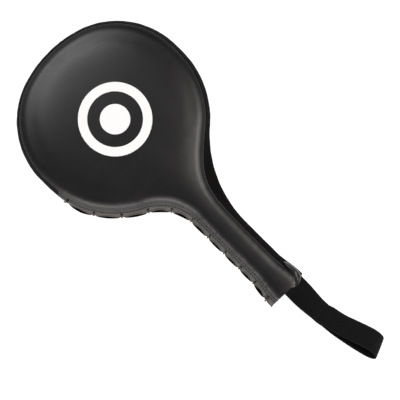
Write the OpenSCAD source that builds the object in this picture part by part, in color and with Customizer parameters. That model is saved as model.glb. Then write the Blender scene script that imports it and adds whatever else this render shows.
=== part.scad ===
// Padded kick paddle: a round head on a long grip, laced up one side, with a wrist loop.
// It lies on its back face. X runs across the head, with the laced side at -X. Y runs from
// the grip's end to the crown, and Z comes out of the striking face. The origin is on the
// back face, under the middle of the head.

/* [Head] */
// Width of the head, without the laced lips
head_w = 229; // [180:1:290]
// Thickness of the head, from back face to striking face
head_t = 40; // [34:1:60]
// How much larger the crown's radius is than half of head_w
crown_extra = 35.5; // [15:0.5:80]
// How much smaller the shoulders' radius is than half of head_w
shoulder_less = 14.5; // [4:0.5:30]
// Straight stretch between the shoulders and the belly of the head
side_straight = 10; // [0:1:30]
// Height of the belly's centre above the middle of the head
belly_y = 4; // [-10:1:20]

/* [Grip] */
// Width of the grip, without the laced lips
grip_w = 40; // [34:1:60]
// Thickness of the grip
grip_t = 34; // [32:1:52]
// How far the grip's middle lies off the head's middle, away from the lacing
grip_shift = 3; // [0:0.5:8]
// Straight length of the grip, below the neck
grip_len = 93; // [60:1:160]
// Radius of the neck on the closed side
neck_r = 150; // [60:1:220]
// Radius of the neck on the laced side
lace_neck_r = 60; // [40:1:220]
// How much further in the seams run at the neck on the closed side
neck_wall = 8; // [0:0.5:8]
// How much further in the seams run along the grip on the closed side
grip_wall = 2; // [0:0.5:2]
// How far the grip widens on each side at its end
flare_w = 4; // [0:0.5:8]
// Length of the widening at the grip's end
flare_len = 42; // [30:1:60]

/* [Cover] */
// Thickness of the leatherette
skin_t = 1.4; // [0.8:0.1:2]
// Distance from the outline to the flat part of a face
roll_in = 16; // [12:0.5:16]
// Distance from the outline to the seam round a face
seam_in = 3.5; // [2:0.1:5]
// Width of the side gusset, from seam to seam
gusset_w = 24; // [16:1:26]
// Free space between one layer and the next
layer_gap = 0.2; // [0.1:0.05:0.4]
// Diameter of the sewing thread
thread_d = 0.7; // [0.4:0.1:1]

/* [Core] */
// Thickness of the firm board in the middle
core_t = 6; // [4:0.5:8]
// Distance from the outline to the board and the foam
core_in = 5.3; // [5.3:0.1:8]
// Width of the spine in the grip
spine_w = 20; // [12:1:24]
// Length of spine that is let into the board
spine_lap = 60; // [30:1:80]
// Clearance round the spine in the board's slot
spine_fit = 0.3; // [0.2:0.05:0.5]

/* [Lacing] */
// Number of pairs of lace holes
lace_pairs = 11; // [6:1:16]
// Laced length, from the first pair of holes to the last
laced_len = 290; // [200:1:300]
// How much longer the first spacing is than the last, as a share of the mean spacing
lace_spread = 0.4; // [0:0.05:0.6]
// Distance of the last pair of holes from the grip's end
lace_end_in = 10; // [8:1:20]
// Diameter of the lace
lace_d = 2.2; // [1.6:0.1:2.6]
// Diameter of a lace hole
hole_d = 3; // [2.8:0.1:4]
// How far the lips stand out beyond the head's outline
lip_head_w = 8; // [7:0.5:10]
// How far the lips stand out beyond the grip's outline
lip_grip_w = 6.5; // [6.5:0.5:9]
// Half of the space between the lips where the lace pulls them together
lip_close = 0.2; // [0.15:0.05:0.4]
// How far each lip lifts off the other between two pairs of holes
lip_gape = 2; // [0:0.1:3]
// How far the back lip bulges out between two pairs of holes
lip_bulge = 3; // [0:0.1:4]

/* [Wrist loop] */
// Width of the webbing
web_w = 30; // [20:1:34]
// Thickness of the webbing
web_t = 1.3; // [1:0.1:1.4]
// Place of the webbing's middle across the grip
web_x = 8.5; // [4:0.5:8.5]
// Length of webbing sewn into the grip
tail_len = 16; // [12:1:16]
// Space left in the webbing at each place where it bends
bend_gap = 3; // [2.5:0.1:5]

/* [Emblem] */
// Outer diameter of the printed ring
ring_d = 88; // [40:1:120]
// Width of the printed ring
ring_w = 11; // [4:1:14]
// Diameter of the printed dot
dot_d = 36; // [10:1:60]
// Thickness of the print
print_t = 0.3; // [0.2:0.05:0.5]

/* [Hidden] */

leatherette = [0.19, 0.18, 0.18];
leatherette_edge = [0.34, 0.31, 0.3];
dark_cord = [0.1, 0.09, 0.09];
thread_grey = [0.45, 0.43, 0.42];
board_grey = [0.55, 0.56, 0.58];
foam_white = [0.86, 0.86, 0.83];
webbing_black = [0.08, 0.08, 0.09];
print_white = [0.96, 0.96, 0.96];

// Steps along each stretch of the outline, and steps round a face's rolled edge
crown_steps = 5;
shoulder_steps = 9;
belly_steps = 6;
belly_angle = 38;
neck_steps = 8;
low_neck_steps = 4;
grip_steps = 6;
roll_angles = [0, 22.5, 45, 67.5, 90];

// Half sizes, and the radii of the outline's arcs
mid_z = head_t / 2;
half_head = head_w / 2;
crown_r = half_head + crown_extra;
shoulder_r = half_head - shoulder_less;
grip_right = grip_w / 2 + grip_shift;
grip_left = grip_w / 2 - grip_shift;
seam_z = gusset_w / 2;

// Centres of the arcs, each tangent to the next
shoulder_y = belly_y + side_straight;
crown_y = shoulder_y - sqrt(pow(crown_r - shoulder_r, 2) - pow(half_head - shoulder_r, 2));
function neck_y(half, r) = belly_y - sqrt(pow(half_head + r, 2) - pow(half + r, 2));
neck_end_y = neck_y(grip_right, neck_r);
neck_top_y = belly_y - half_head * (belly_y - neck_end_y) / (half_head + neck_r);
core_split_y = neck_y(grip_left, lace_neck_r);
end_y = neck_end_y - grip_len;
end_panel_in = 1;
foam_end_y = end_y + end_panel_in + skin_t + layer_gap;

function smooth(t) = let (c = min(1, max(0, t))) c * c * (3 - 2 * c);
function mix(a, b, t) = a + (b - a) * t;
function unit(v) = v / norm(v);

// One station of the outline is [x, y, outward x, outward y]
function arc(cx, cy, r, a0, a1, steps, first = 1) =
    [for (i = [first : steps]) let (a = mix(a0, a1, i / steps))
        [cx + r * cos(a), cy + r * sin(a), cos(a), sin(a)]];
function widening(y) = flare_w * smooth((end_y + flare_len - y) / flare_len);
// Below the belly both sides have a station at the same heights: on the belly's arc, then on
// the neck's arc, then on the straight grip
low_neck_y = min(core_split_y, neck_end_y) - 6;
fall_y = concat(
    [for (i = [1 : neck_steps])
        mix(belly_y - half_head * sin(belly_angle), core_split_y, i / neck_steps)],
    [for (i = [1 : low_neck_steps]) mix(core_split_y, low_neck_y, i / low_neck_steps)],
    [for (i = [1 : grip_steps - 1]) mix(low_neck_y, end_y, i / grip_steps)],
    [foam_end_y, end_y]
);
function fall(y, half, r) =
    let (
        ny = neck_y(half, r),
        join_y = belly_y - half_head * (belly_y - ny) / (half_head + r)
    )
    y > join_y ? let (x = sqrt(pow(half_head, 2) - pow(y - belly_y, 2)))
        [x, y, x / half_head, (y - belly_y) / half_head]
    : y > ny ? let (x = sqrt(pow(r, 2) - pow(y - ny, 2)))
        [half + r - x + widening(y), y, x / r, (ny - y) / r]
    : [half + widening(y), y, 1, 0];
function side(half, r) =
    let (join = atan2(shoulder_y - crown_y, half_head - shoulder_r))
    concat(
        [[0, crown_y + crown_r, 0, 1]],
        arc(0, crown_y, crown_r, 90, join, crown_steps),
        arc(half_head - shoulder_r, shoulder_y, shoulder_r, join, 0, shoulder_steps),
        arc(0, belly_y, half_head, 0, -belly_angle, belly_steps, 0),
        [for (y = fall_y) fall(y, half, r)]
    );

right_side = side(grip_right, neck_r);
left_side = [for (p = side(grip_left, lace_neck_r)) [-p[0], p[1], -p[2], p[3]]];
last = len(right_side) - 1;
// The whole outline as an open line: up the laced side, over the crown, down the closed side
outline = concat([for (i = [last : -1 : 1]) left_side[i]], right_side);
head_outline = [for (p = outline) if (p[1] > core_split_y - 0.01) p];

// How much further in the seams and the core lie at a station: only on the closed side
wall_y = mix(neck_top_y, neck_end_y, 0.46);
wall_len = (neck_top_y - neck_end_y) * 0.48;
function wall_at(y) =
    neck_wall * smooth(1 - abs(y - wall_y) / wall_len) + grip_wall * smooth((wall_y - y) / wall_len);
function wall(p) = p[0] > 0 ? wall_at(p[1]) : 0;

// Half the thickness of the paddle at a place along it
function half_t(y) =
    mix(head_t, grip_t, smooth((neck_top_y - y) / (neck_top_y - neck_end_y))) / 2;

// A ring round a face: in from the outline, with a floor, and a share of the rise above it
function ring(inset, low, share, lost, stop = end_y, stations = outline) =
    [for (p = stations) let (in = inset + wall(p)) [
        p[0] - p[2] * in,
        max(p[1] - p[3] * in, stop),
        mid_z + low + (half_t(p[1]) - lost - low) * share
    ]];
function roll_ring(a, inset, lost, stop = end_y, stations = outline) =
    ring(inset + (roll_in - inset) * (1 - cos(a)), seam_z, sin(a), lost, stop, stations);

// Points of a section [out from the outline, up from the middle] placed at a station
function placed(p, section) =
    [for (q = section) [p[0] + p[2] * q[0], p[1] + p[3] * q[0], mid_z + q[1]]];
// A thick strip's section, from its middle line
function line_normal(line, i) =
    let (d = line[min(i + 1, len(line) - 1)] - line[max(i - 1, 0)]) [-d[1], d[0]] / norm(d);
function thick(line, t) = concat(
    [for (i = [0 : len(line) - 1]) line[i] + line_normal(line, i) * t / 2],
    [for (i = [len(line) - 1 : -1 : 0]) line[i] - line_normal(line, i) * t / 2]
);

// Triangles between two runs of points, and across the two halves of one run
function band(a, b, n) =
    [for (i = [0 : n - 2]) each [[a + i, a + i + 1, b + i + 1], [a + i, b + i + 1, b + i]]];
function across(a, n) = let (m = (n - 1) / 2) concat(
    [[a + m - 1, a + m, a + m + 1]],
    [for (i = [1 : m - 1]) each [
        [a + m - i, a + m + i, a + m + i + 1],
        [a + m - i, a + m + i + 1, a + m - i - 1]
    ]]
);
// Triangles that close a section whose second half runs back beside its first
function rungs(a, s) = [for (j = [0 : s / 2 - 2])
    each [[a + j, a + j + 1, a + s - 2 - j], [a + j, a + s - 2 - j, a + s - 1 - j]]];
function flipped(faces) = [for (f = faces) [f[0], f[2], f[1]]];

// A solid piled up from rings, from the lowest to the highest
module pile(rings) {
    n = len(rings[0]);
    top = (len(rings) - 1) * n;
    polyhedron(
        points = [for (r = rings) each r],
        faces = concat(
            [for (k = [0 : len(rings) - 2]) each concat(
                flipped(band(k * n, (k + 1) * n, n)),
                [[k * n + n - 1, (k + 1) * n, k * n], [k * n + n - 1, (k + 1) * n + n - 1, (k + 1) * n]]
            )],
            across(0, n),
            flipped(across(top, n))
        )
    );
}

// A shell between outer and inner rings, open below and closed above
module cap_shell(outer, inner) {
    n = len(outer[0]);
    k = len(outer);
    in0 = k * n;
    polyhedron(
        points = concat([for (r = outer) each r], [for (r = inner) each r]),
        faces = concat(
            [for (j = [0 : k - 2]) each flipped(band(j * n, (j + 1) * n, n))],
            [for (j = [0 : k - 2]) each band(in0 + j * n, in0 + (j + 1) * n, n)],
            flipped(across((k - 1) * n, n)),
            across(in0 + (k - 1) * n, n),
            band(0, in0, n),
            [for (j = [0 : k - 2]) each concat(
                flipped(band_pair(j * n, (j + 1) * n, in0 + j * n, in0 + (j + 1) * n)),
                band_pair(
                    j * n + n - 1, (j + 1) * n + n - 1,
                    in0 + j * n + n - 1, in0 + (j + 1) * n + n - 1
                )
            )],
            flipped(band_pair(
                (k - 1) * n, (k - 1) * n + n - 1,
                in0 + (k - 1) * n, in0 + (k - 1) * n + n - 1
            ))
        )
    );
}
function band_pair(a, a2, b, b2) = [[a, a2, b2], [a, b2, b]];

// A solid swept through sections that have the same number of points
module sweep(sections) {
    s = len(sections[0]);
    n = len(sections);
    polyhedron(
        points = [for (q = sections) each q],
        faces = concat(
            [for (i = [0 : n - 2], j = [0 : s - 1]) let (a = i * s + j, b = i * s + (j + 1) % s)
                each [[a, a + s, b + s], [a, b + s, b]]],
            rungs(0, s),
            flipped(rungs((n - 1) * s, s))
        )
    );
}

module face_down() {
    translate([0, 0, 2 * mid_z]) mirror([0, 0, 1]) children();
}

// Cover

module face_panel() {
    cap_shell(
        [for (a = roll_angles) roll_ring(a, seam_in, 0)],
        [for (a = roll_angles) roll_ring(a, seam_in + skin_t, skin_t)]
    );
}
module front_panel() { color(leatherette) face_panel(); }
module back_panel() { color(leatherette) face_down() face_panel(); }

// Distance along the laced side from the crown, and a station at such a distance
function lengths(line) =
    [for (i = 0, s = 0; i < len(line);
        s = s + (i + 1 < len(line) ? norm([line[i + 1][0] - line[i][0], line[i + 1][1] - line[i][1]]) : 0),
        i = i + 1) s];
left_s = lengths(left_side);
left_columns = [for (c = [0 : 3]) [for (i = [0 : last]) [left_s[i], left_side[i][c]]]];
function left_at(s) =
    let (n = unit([lookup(s, left_columns[2]), lookup(s, left_columns[3])]))
    [lookup(s, left_columns[0]), lookup(s, left_columns[1]), n[0], n[1]];

// Places of the lace holes along the laced side, closer together towards the grip's end
last_hole_s = left_s[last] - lace_end_in;
first_hole_s = last_hole_s - laced_len;
hole_s = [for (k = [0 : lace_pairs - 1]) let (u = k / (lace_pairs - 1))
    first_hole_s + laced_len * u * (1 + lace_spread / 2 * (1 - u))];
facing_lead = 14;
facing_start_s = first_hole_s - facing_lead;
hole_from_edge = 3.6;

module side_gusset() {
    steps = [1, 0.5, 0, -0.5, -1];
    rise = seam_z - layer_gap - skin_t / 2;
    end_s = facing_start_s - layer_gap;
    run = concat(
        [for (i = [last : -1 : 0]) right_side[i]],
        [for (i = [1 : last]) if (left_s[i] < end_s - 2) left_side[i]],
        [left_at(end_s)]
    );
    color(leatherette_edge) sweep([for (p = run) let (
        middle = [for (k = steps) [-(seam_in + wall(p)) * k * k - skin_t / 2, rise * k]]
    ) placed(p, thick(middle, skin_t))]);
}

// Width of the lips, which grow out of the head where the facings start
function lip_w(s) =
    mix(lip_head_w, lip_grip_w, smooth((s - mix(first_hole_s, last_hole_s, 0.35)) / 80))
    * mix(0.45, 1, smooth((s - facing_start_s) / 40));
// How open the lips are: none at a hole, most halfway to the next
function open_at(s) =
    max([0, for (k = [0 : lace_pairs - 2]) if (s > hole_s[k] && s < hole_s[k + 1])
        pow(sin(180 * (s - hole_s[k]) / (hole_s[k + 1] - hole_s[k])), 2)]);
facing_t = skin_t;
function facing_line(s, bulge) =
    let (w = lip_w(s) + bulge * open_at(s), z = lip_close + facing_t / 2 + lip_gape * open_at(s))
    [
        [-seam_in - facing_t / 2, seam_z - layer_gap - facing_t / 2],
        [-0.8, seam_z * 0.66],
        [w * 0.24, max(seam_z * 0.34, z + 1.4)],
        [w * 0.52, z + 0.5],
        [w, z]
    ];
steps_per_span = 6;
facing_stations = concat(
    [facing_start_s, facing_start_s + facing_lead / 2],
    [for (k = [0 : lace_pairs - 2], j = [0 : steps_per_span - 1])
        mix(hole_s[k], hole_s[k + 1], j / steps_per_span)],
    [last_hole_s, left_s[last]]
);
module facing(bulge) {
    difference() {
        sweep([for (s = facing_stations) placed(left_at(s), thick(facing_line(s, bulge), facing_t))]);
        for (s = hole_s) {
            p = left_at(s);
            out = lip_w(s) - hole_from_edge;
            translate([p[0] + p[2] * out, p[1] + p[3] * out, mid_z - 1])
                cylinder(h = seam_z, d = hole_d, $fn = 24);
        }
    }
}
module front_facing() { color(leatherette_edge) facing(0); }
module back_facing() { color(leatherette_edge) face_down() facing(lip_bulge); }

// The end panel fills the grip's section just inside the end
function core_profile(half) = concat(
    [[half - core_in, 0]],
    [for (a = roll_angles) [
        half - core_in - (roll_in - core_in) * (1 - cos(a)),
        seam_z + (grip_t / 2 - skin_t - layer_gap - seam_z) * sin(a)
    ]]
);
function grip_section(right, left) = let (r = core_profile(right), l = core_profile(left)) concat(
    r,
    [for (i = [len(l) - 1 : -1 : 0]) [-l[i][0], l[i][1]]],
    [for (i = [1 : len(l) - 1]) [-l[i][0], -l[i][1]]],
    [for (i = [len(r) - 1 : -1 : 1]) [r[i][0], -r[i][1]]]
);
slot_fit = 0.4;
module end_panel() {
    w = widening(end_y + end_panel_in + skin_t);
    color(leatherette_edge) difference() {
        translate([0, end_y + end_panel_in + skin_t, mid_z]) rotate([90, 0, 0])
            linear_extrude(skin_t)
                polygon(grip_section(grip_right + w - wall_at(end_y), grip_left + w));
        translate([web_x - web_w / 2 - slot_fit, end_y, mid_z - web_t - slot_fit])
            cube([web_w + 2 * slot_fit, 2 * skin_t + 2, 2 * (web_t + slot_fit)]);
    }
}

// Core

foam_low = core_t / 2 + layer_gap;
spine_top_y = core_split_y + spine_lap;
spine_end_y = end_y + tail_len + 6;
module core_board() {
    color(board_grey) difference() {
        translate([0, 0, mid_z - core_t / 2]) linear_extrude(core_t)
            polygon([for (p = head_outline) let (in = core_in + wall(p))
                [p[0] - p[2] * in, p[1] - p[3] * in]]);
        translate([grip_shift - spine_w / 2 - spine_fit, core_split_y - spine_lap, 0])
            cube([spine_w + 2 * spine_fit, 2 * spine_lap + spine_fit, head_t]);
    }
}
module grip_spine() {
    color(board_grey)
        translate([grip_shift - spine_w / 2, spine_end_y, mid_z - core_t / 2])
            cube([spine_w, spine_top_y - spine_end_y, core_t]);
}
module head_foam() {
    stop = core_split_y + layer_gap;
    pile(concat(
        [ring(core_in, foam_low, 0, 0, stop, head_outline)],
        [for (a = roll_angles) roll_ring(a, core_in, skin_t + layer_gap, stop, head_outline)]
    ));
}
// The foam on one side of the grip is swept along it, from the neck to the end panel
module grip_foam() {
    run = [for (y = fall_y) if (y < core_split_y + 0.01 && y > foam_end_y - 0.01)
        y > core_split_y - 0.01 ? y - 5 * layer_gap : y];
    sweep([for (y = run) let (
        rise = half_t(y) - skin_t - layer_gap - seam_z,
        profile = concat([[core_in, foam_low]], [for (a = roll_angles)
            [core_in + (roll_in - core_in) * (1 - cos(a)), seam_z + rise * sin(a)]]),
        right = fall(y, grip_right, neck_r),
        left = fall(y, grip_left, lace_neck_r)
    ) concat(
        [for (q = profile) let (in = q[0] + wall_at(y))
            [right[0] - right[2] * in, y - right[3] * in, mid_z + q[1]]],
        [for (i = [len(profile) - 1 : -1 : 0]) let (q = profile[i])
            [left[2] * q[0] - left[0], y - left[3] * q[0], mid_z + q[1]]]
    )]);
}
module head_foam_front() { color(foam_white) head_foam(); }
module head_foam_back() { color(foam_white) face_down() head_foam(); }
module grip_foam_front() { color(foam_white) grip_foam(); }
module grip_foam_back() { color(foam_white) face_down() grip_foam(); }

// Lacing

// A round cord along a route; each ring keeps its turn from the ring before
function aim(route, i) =
    unit(route[min(i + 1, len(route) - 1)] - route[max(i - 1, 0)]);
function across_aim(u, t) = unit(u - (u * t) * t);
module cord(route, d, sides, up) {
    dirs = [for (i = [0 : len(route) - 1]) aim(route, i)];
    ups = [for (i = 0, u = across_aim(up, dirs[0]); i < len(route);
        i = i + 1, u = i < len(route) ? across_aim(u, dirs[i]) : u) u];
    sweep([for (i = [0 : len(route) - 1]) let (v = cross(dirs[i], ups[i]))
        [for (j = [0 : sides - 1]) let (a = 360 * (j + 0.5) / sides)
            route[i] + (ups[i] * cos(a) - v * sin(a)) * d / 2]]);
}

// One turn of the lace round both lips: [out from the hole, up, along the lips]
lace_rise = lip_close + facing_t + lace_d / 2 + 0.3;
lace_out = hole_from_edge + lace_d / 2 + 0.3;
lace_turn = [
    [-3.4, 0.9, -3],
    [-0.5, 1.3, -0.3],
    [0, lace_rise * 0.8, 0],
    [1.2, lace_rise + 0.5, 0],
    [lace_out - 1, lace_rise * 0.75, 0],
    [lace_out + 0.2, 0, 0],
    [lace_out - 1, -lace_rise * 0.75, 0],
    [1.2, -lace_rise - 0.5, 0],
    [0, -lace_rise * 0.8, 0],
    [-0.5, -1.3, 0.3],
    [-3.4, -0.9, 3]
];
function on_lip(s, q) =
    let (p = left_at(s), out = lip_w(s) - hole_from_edge + q[0])
    [
        p[0] + p[2] * out + p[3] * q[2],
        p[1] + p[3] * out - p[2] * q[2],
        mid_z + q[1]
    ];
// The first turn starts at its knot on the front lip, and the last ends at its knot
first_turn = [for (i = [3 : 10]) lace_turn[i]];
last_turn = [for (i = [0 : 3]) lace_turn[i]];
lace_route = concat(
    [for (q = first_turn) on_lip(hole_s[0], q)],
    [for (k = [1 : lace_pairs - 2], q = lace_turn) on_lip(hole_s[k], q)],
    [for (q = last_turn) on_lip(hole_s[lace_pairs - 1], q)]
);
module lace() { color(dark_cord) cord(lace_route, lace_d, 6, [0, 0, 1]); }

// A knot: a ball with a flat end of lace beside it, pressed a little into the front lip
knot_d = 5;
knot_tail = 7;
knot_sink = 0.3;
module knot(s) {
    p = on_lip(s, lace_turn[3]);
    color(dark_cord) translate([p[0], p[1], mid_z + lip_close + facing_t + knot_d / 2 - knot_sink]) {
        sphere(d = knot_d, $fn = 24);
        rotate([0, 0, 200]) translate([0, -lace_d / 2, -lace_d / 2]) cube([knot_tail, lace_d, lace_d]);
    }
}
module lace_start_knot() { knot(hole_s[0]); }
module lace_end_knot() { knot(hole_s[lace_pairs - 1]); }

// Stitching

thread_lift = thread_d / 2 + 0.12;
function thread_section(at, up) =
    [for (a = [0, 90, 180, 270]) at + up + thread_d / 2 * [cos(a), sin(a)]];
seam_thread_angle = roll_angles[1];
module seam_thread() {
    c = cos(seam_thread_angle);
    s = sin(seam_thread_angle);
    color(thread_grey) sweep([for (p = outline) placed(p, thread_section(
        [-seam_in - wall(p) - (roll_in - seam_in) * (1 - c), seam_z + (half_t(p[1]) - seam_z) * s],
        [thread_lift * c, thread_lift * s]
    ))]);
}
module front_seam_thread() { seam_thread(); }
module back_seam_thread() { face_down() seam_thread(); }

module facing_thread(bulge) {
    color(thread_grey) sweep([for (s = facing_stations) let (line = facing_line(s, bulge))
        placed(left_at(s), thread_section(line[1], line_normal(line, 1) * (facing_t / 2 + thread_lift)))]);
}
module front_facing_thread() { facing_thread(0); }
module back_facing_thread() { face_down() facing_thread(lip_bulge); }

hem_in = 5;
module hem_thread() {
    y = end_y + hem_in;
    w = widening(y);
    arch = [for (a = [30, 45, 67.5, 90]) [
        seam_in + (roll_in - seam_in) * (1 - cos(a)),
        seam_z + (half_t(y) - seam_z) * sin(a) + thread_lift + thread_d / 2
    ]];
    route = concat(
        [for (q = arch) [-grip_left - w + q[0], y, mid_z + q[1]]],
        [for (i = [len(arch) - 1 : -1 : 0])
            [grip_right + w - wall_at(y) - arch[i][0], y, mid_z + arch[i][1]]]
    );
    color(thread_grey) cord(route, thread_d, 4, [0, 1, 0]);
}
module front_hem_thread() { hem_thread(); }
module back_hem_thread() { face_down() hem_thread(); }

// Print on the striking face

print_lift = 0.05;
module emblem() {
    color(print_white) translate([0, 0, head_t + print_lift]) {
        difference() {
            cylinder(h = print_t, d = ring_d, $fn = 96);
            translate([0, 0, -1]) cylinder(h = print_t + 2, d = ring_d - 2 * ring_w, $fn = 96);
        }
        cylinder(h = print_t, d = dot_d, $fn = 96);
    }
}

// Wrist loop: one band of webbing, doubled and sewn into the grip's end

leg_gap = 0.2;
root_y = end_y - bend_gap / 2 - 1;
module strap_tail() {
    for (z = [-web_t - leg_gap / 2, leg_gap / 2])
        color(webbing_black)
            translate([web_x - web_w / 2, root_y + bend_gap / 2, mid_z + z])
                cube([web_w, tail_len + end_y - root_y - bend_gap / 2, web_t]);
}
module strap_tack() {
    box = [web_w - 8, tail_len - 7];
    at = [web_x, foam_end_y + box[1] / 2 + 1, mid_z + web_t + leg_gap / 2 + 0.1];
    color(thread_grey) translate(at) {
        for (x = [-1, 1]) translate([x * box[0] / 2 - thread_d / 2, -box[1] / 2, 0])
            cube([thread_d, box[1], thread_d]);
        for (y = [-1, 1]) translate([-box[0] / 2, y * box[1] / 2 - thread_d / 2, 0])
            cube([box[0], thread_d, thread_d]);
        for (a = [-1, 1]) rotate([0, 0, a * atan2(box[1], box[0])])
            translate([-norm(box) / 2, -thread_d / 2, 0]) cube([norm(box), thread_d, thread_d]);
    }
}

// The webbing's middle line seen from above: [distance from the root, sideways]
strap_sway = [[0, 0], [20, -0.3], [38, 0], [58, 2.6], [78, 7], [98, 12], [116, 16], [130, 19]];
function sway_at(d) = lookup(d, strap_sway);
near_len = 58;
mid_drop = mid_z - web_t - 0.9;
// A cross-section of webbing: distance from the root, height, and the normal's tilt
function web_section(d, z, tilt) =
    let (
        turn = atan2(sway_at(d + 4) - sway_at(d - 4), 8),
        wide = [cos(turn), sin(turn), 0] * web_w / 2,
        up = [-sin(turn) * sin(tilt), cos(turn) * sin(tilt), cos(tilt)] * web_t / 2,
        c = [web_x + sway_at(d), root_y - d, z]
    )
    [c - wide + up, c + wide + up, c + wide - up, c - wide - up];

module strap_near() {
    steps = 6;
    color(webbing_black) for (leg = [-1, 1])
        sweep([for (i = [0 : steps]) let (
            u = i / steps,
            d = mix(bend_gap / 2, near_len - bend_gap / 2, u),
            apart = mix(web_t + leg_gap, web_t + 1.4, u) / 2,
            fall = atan2(mid_drop, near_len)
        ) web_section(d, mid_z - d * tan(fall) + apart * leg / cos(fall), -fall)]);
}

// The loop's side view: [distance from the near part's end, height, tilt of the normal]
loop_side = [
    [1.6, 3.6, 8], [16, 6, 11], [30, 9, 12], [42, 11.4, 9], [52, 12.6, 2], [60, 11.6, -20],
    [65.4, 8.4, -55], [66.6, 5.4, -95], [64.6, 2.4, -140], [59, 0.95, -172],
    [48, 0.75, -180], [30, 0.75, -180], [14, 0.75, -180], [1.6, 0.75, -180]
];
module strap_far() {
    color(webbing_black) sweep([for (q = loop_side) web_section(near_len + q[0], q[1], q[2])]);
}

front_panel();
back_panel();
side_gusset();
front_facing();
back_facing();
end_panel();
core_board();
grip_spine();
head_foam_front();
head_foam_back();
grip_foam_front();
grip_foam_back();
lace();
lace_start_knot();
lace_end_knot();
front_seam_thread();
back_seam_thread();
front_facing_thread();
back_facing_thread();
front_hem_thread();
back_hem_thread();
emblem();
strap_tail();
strap_tack();
strap_near();
strap_far();
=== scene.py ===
"""Kick paddle: artificial leather over foam, laced along one side, with a webbing wrist loop."""
import math
import random

import bmesh
import bpy
from mathutils import Matrix, Vector, noise
from mathutils.bvhtree import BVHTree
from mathutils.kdtree import KDTree


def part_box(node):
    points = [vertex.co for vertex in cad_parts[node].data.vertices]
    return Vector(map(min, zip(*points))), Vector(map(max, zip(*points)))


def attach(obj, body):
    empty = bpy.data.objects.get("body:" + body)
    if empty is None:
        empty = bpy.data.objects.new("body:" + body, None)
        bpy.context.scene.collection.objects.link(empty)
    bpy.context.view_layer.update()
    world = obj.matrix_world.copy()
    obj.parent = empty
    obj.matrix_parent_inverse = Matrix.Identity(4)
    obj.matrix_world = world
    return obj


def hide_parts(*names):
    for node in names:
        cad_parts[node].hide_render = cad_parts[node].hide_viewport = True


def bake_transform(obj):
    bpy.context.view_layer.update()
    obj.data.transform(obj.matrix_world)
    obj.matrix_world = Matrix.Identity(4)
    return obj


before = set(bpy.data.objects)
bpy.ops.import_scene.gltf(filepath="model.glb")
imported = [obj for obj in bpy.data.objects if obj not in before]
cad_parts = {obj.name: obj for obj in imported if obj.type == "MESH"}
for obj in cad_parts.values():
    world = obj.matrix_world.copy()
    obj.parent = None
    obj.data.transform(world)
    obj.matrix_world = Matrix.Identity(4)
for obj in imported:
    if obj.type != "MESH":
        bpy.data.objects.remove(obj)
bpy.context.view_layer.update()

# Lengths are in millimetres until a piece is finished
MM = 0.001
random.seed(7)


def box_mm(node):
    low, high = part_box(node)
    return Vector(low) / MM, Vector(high) / MM


# ---------------------------------------------------------------- sizes

GUSSET_LOW, GUSSET_HIGH = box_mm("side_gusset")
FACE_Z = box_mm("front_panel")[1].z
MID_Z = FACE_Z / 2
END_Y = GUSSET_LOW.y
HALF_HEAD = GUSSET_HIGH.x
BELLY_Y = 4
SHOULDER_Y = 14
CROWN_R = 150
SHOULDER_R = 100
GRIP_RIGHT = 23
GRIP_LEFT = 17
NECK_RIGHT_R = 150
NECK_LEFT_R = 60
FLARE_W = 4
FLARE_LEN = 42
GRIP_HALF_T = 17
SEAM_Z = 12
SEAM_IN = 3.5
ROLL_IN = 16
NECK_WALL = 8
GRIP_WALL = 2
SKIN_T = 1.4
BELLY_ANGLE = math.radians(38)
CROWN_Y = SHOULDER_Y - math.sqrt((CROWN_R - SHOULDER_R) ** 2 - (HALF_HEAD - SHOULDER_R) ** 2)


def smooth(t):
    t = min(1, max(0, t))
    return t * t * (3 - 2 * t)


def mix(a, b, t):
    return a + (b - a) * t


def neck_centre_y(half, r):
    return BELLY_Y - math.sqrt((HALF_HEAD + r) ** 2 - (half + r) ** 2)


NECK_END_Y = neck_centre_y(GRIP_RIGHT, NECK_RIGHT_R)
NECK_TOP_Y = BELLY_Y - HALF_HEAD * (BELLY_Y - NECK_END_Y) / (HALF_HEAD + NECK_RIGHT_R)
WALL_Y = mix(NECK_TOP_Y, NECK_END_Y, 0.46)
WALL_LEN = (NECK_TOP_Y - NECK_END_Y) * 0.48


def half_t(y):
    """Half the paddle's thickness at a place along it."""
    return mix(MID_Z, GRIP_HALF_T, smooth((NECK_TOP_Y - y) / (NECK_TOP_Y - NECK_END_Y)))


def widening(y):
    """How much the grip flares towards its end."""
    return FLARE_W * smooth((END_Y + FLARE_LEN - y) / FLARE_LEN)


def wall_at(y):
    """How much further in the closed side's seams run, at the neck and along the grip."""
    return NECK_WALL * smooth(1 - abs(y - WALL_Y) / WALL_LEN) + GRIP_WALL * smooth((WALL_Y - y) / WALL_LEN)


# ---------------------------------------------------------------- outline


class Station:
    """A place on the outline: the point, the way outwards, and the distance from the crown."""

    def __init__(self, x, y, nx, ny):
        self.p = Vector((x, y))
        self.n = Vector((nx, ny)).normalized()
        self.s = 0.0

    def wall(self):
        return wall_at(self.p.y) if self.p.x > 0 else 0

    def at(self, out, z, low_y=END_Y):
        """A point that far out of the outline, at that height."""
        q = self.p + self.n * out
        return Vector((q.x, max(q.y, low_y), z))


def arc(cx, cy, r, a0, a1, steps, first=1):
    turns = [mix(a0, a1, i / steps) for i in range(first, steps + 1)]
    return [Station(cx + r * math.cos(a), cy + r * math.sin(a), math.cos(a), math.sin(a)) for a in turns]


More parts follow.
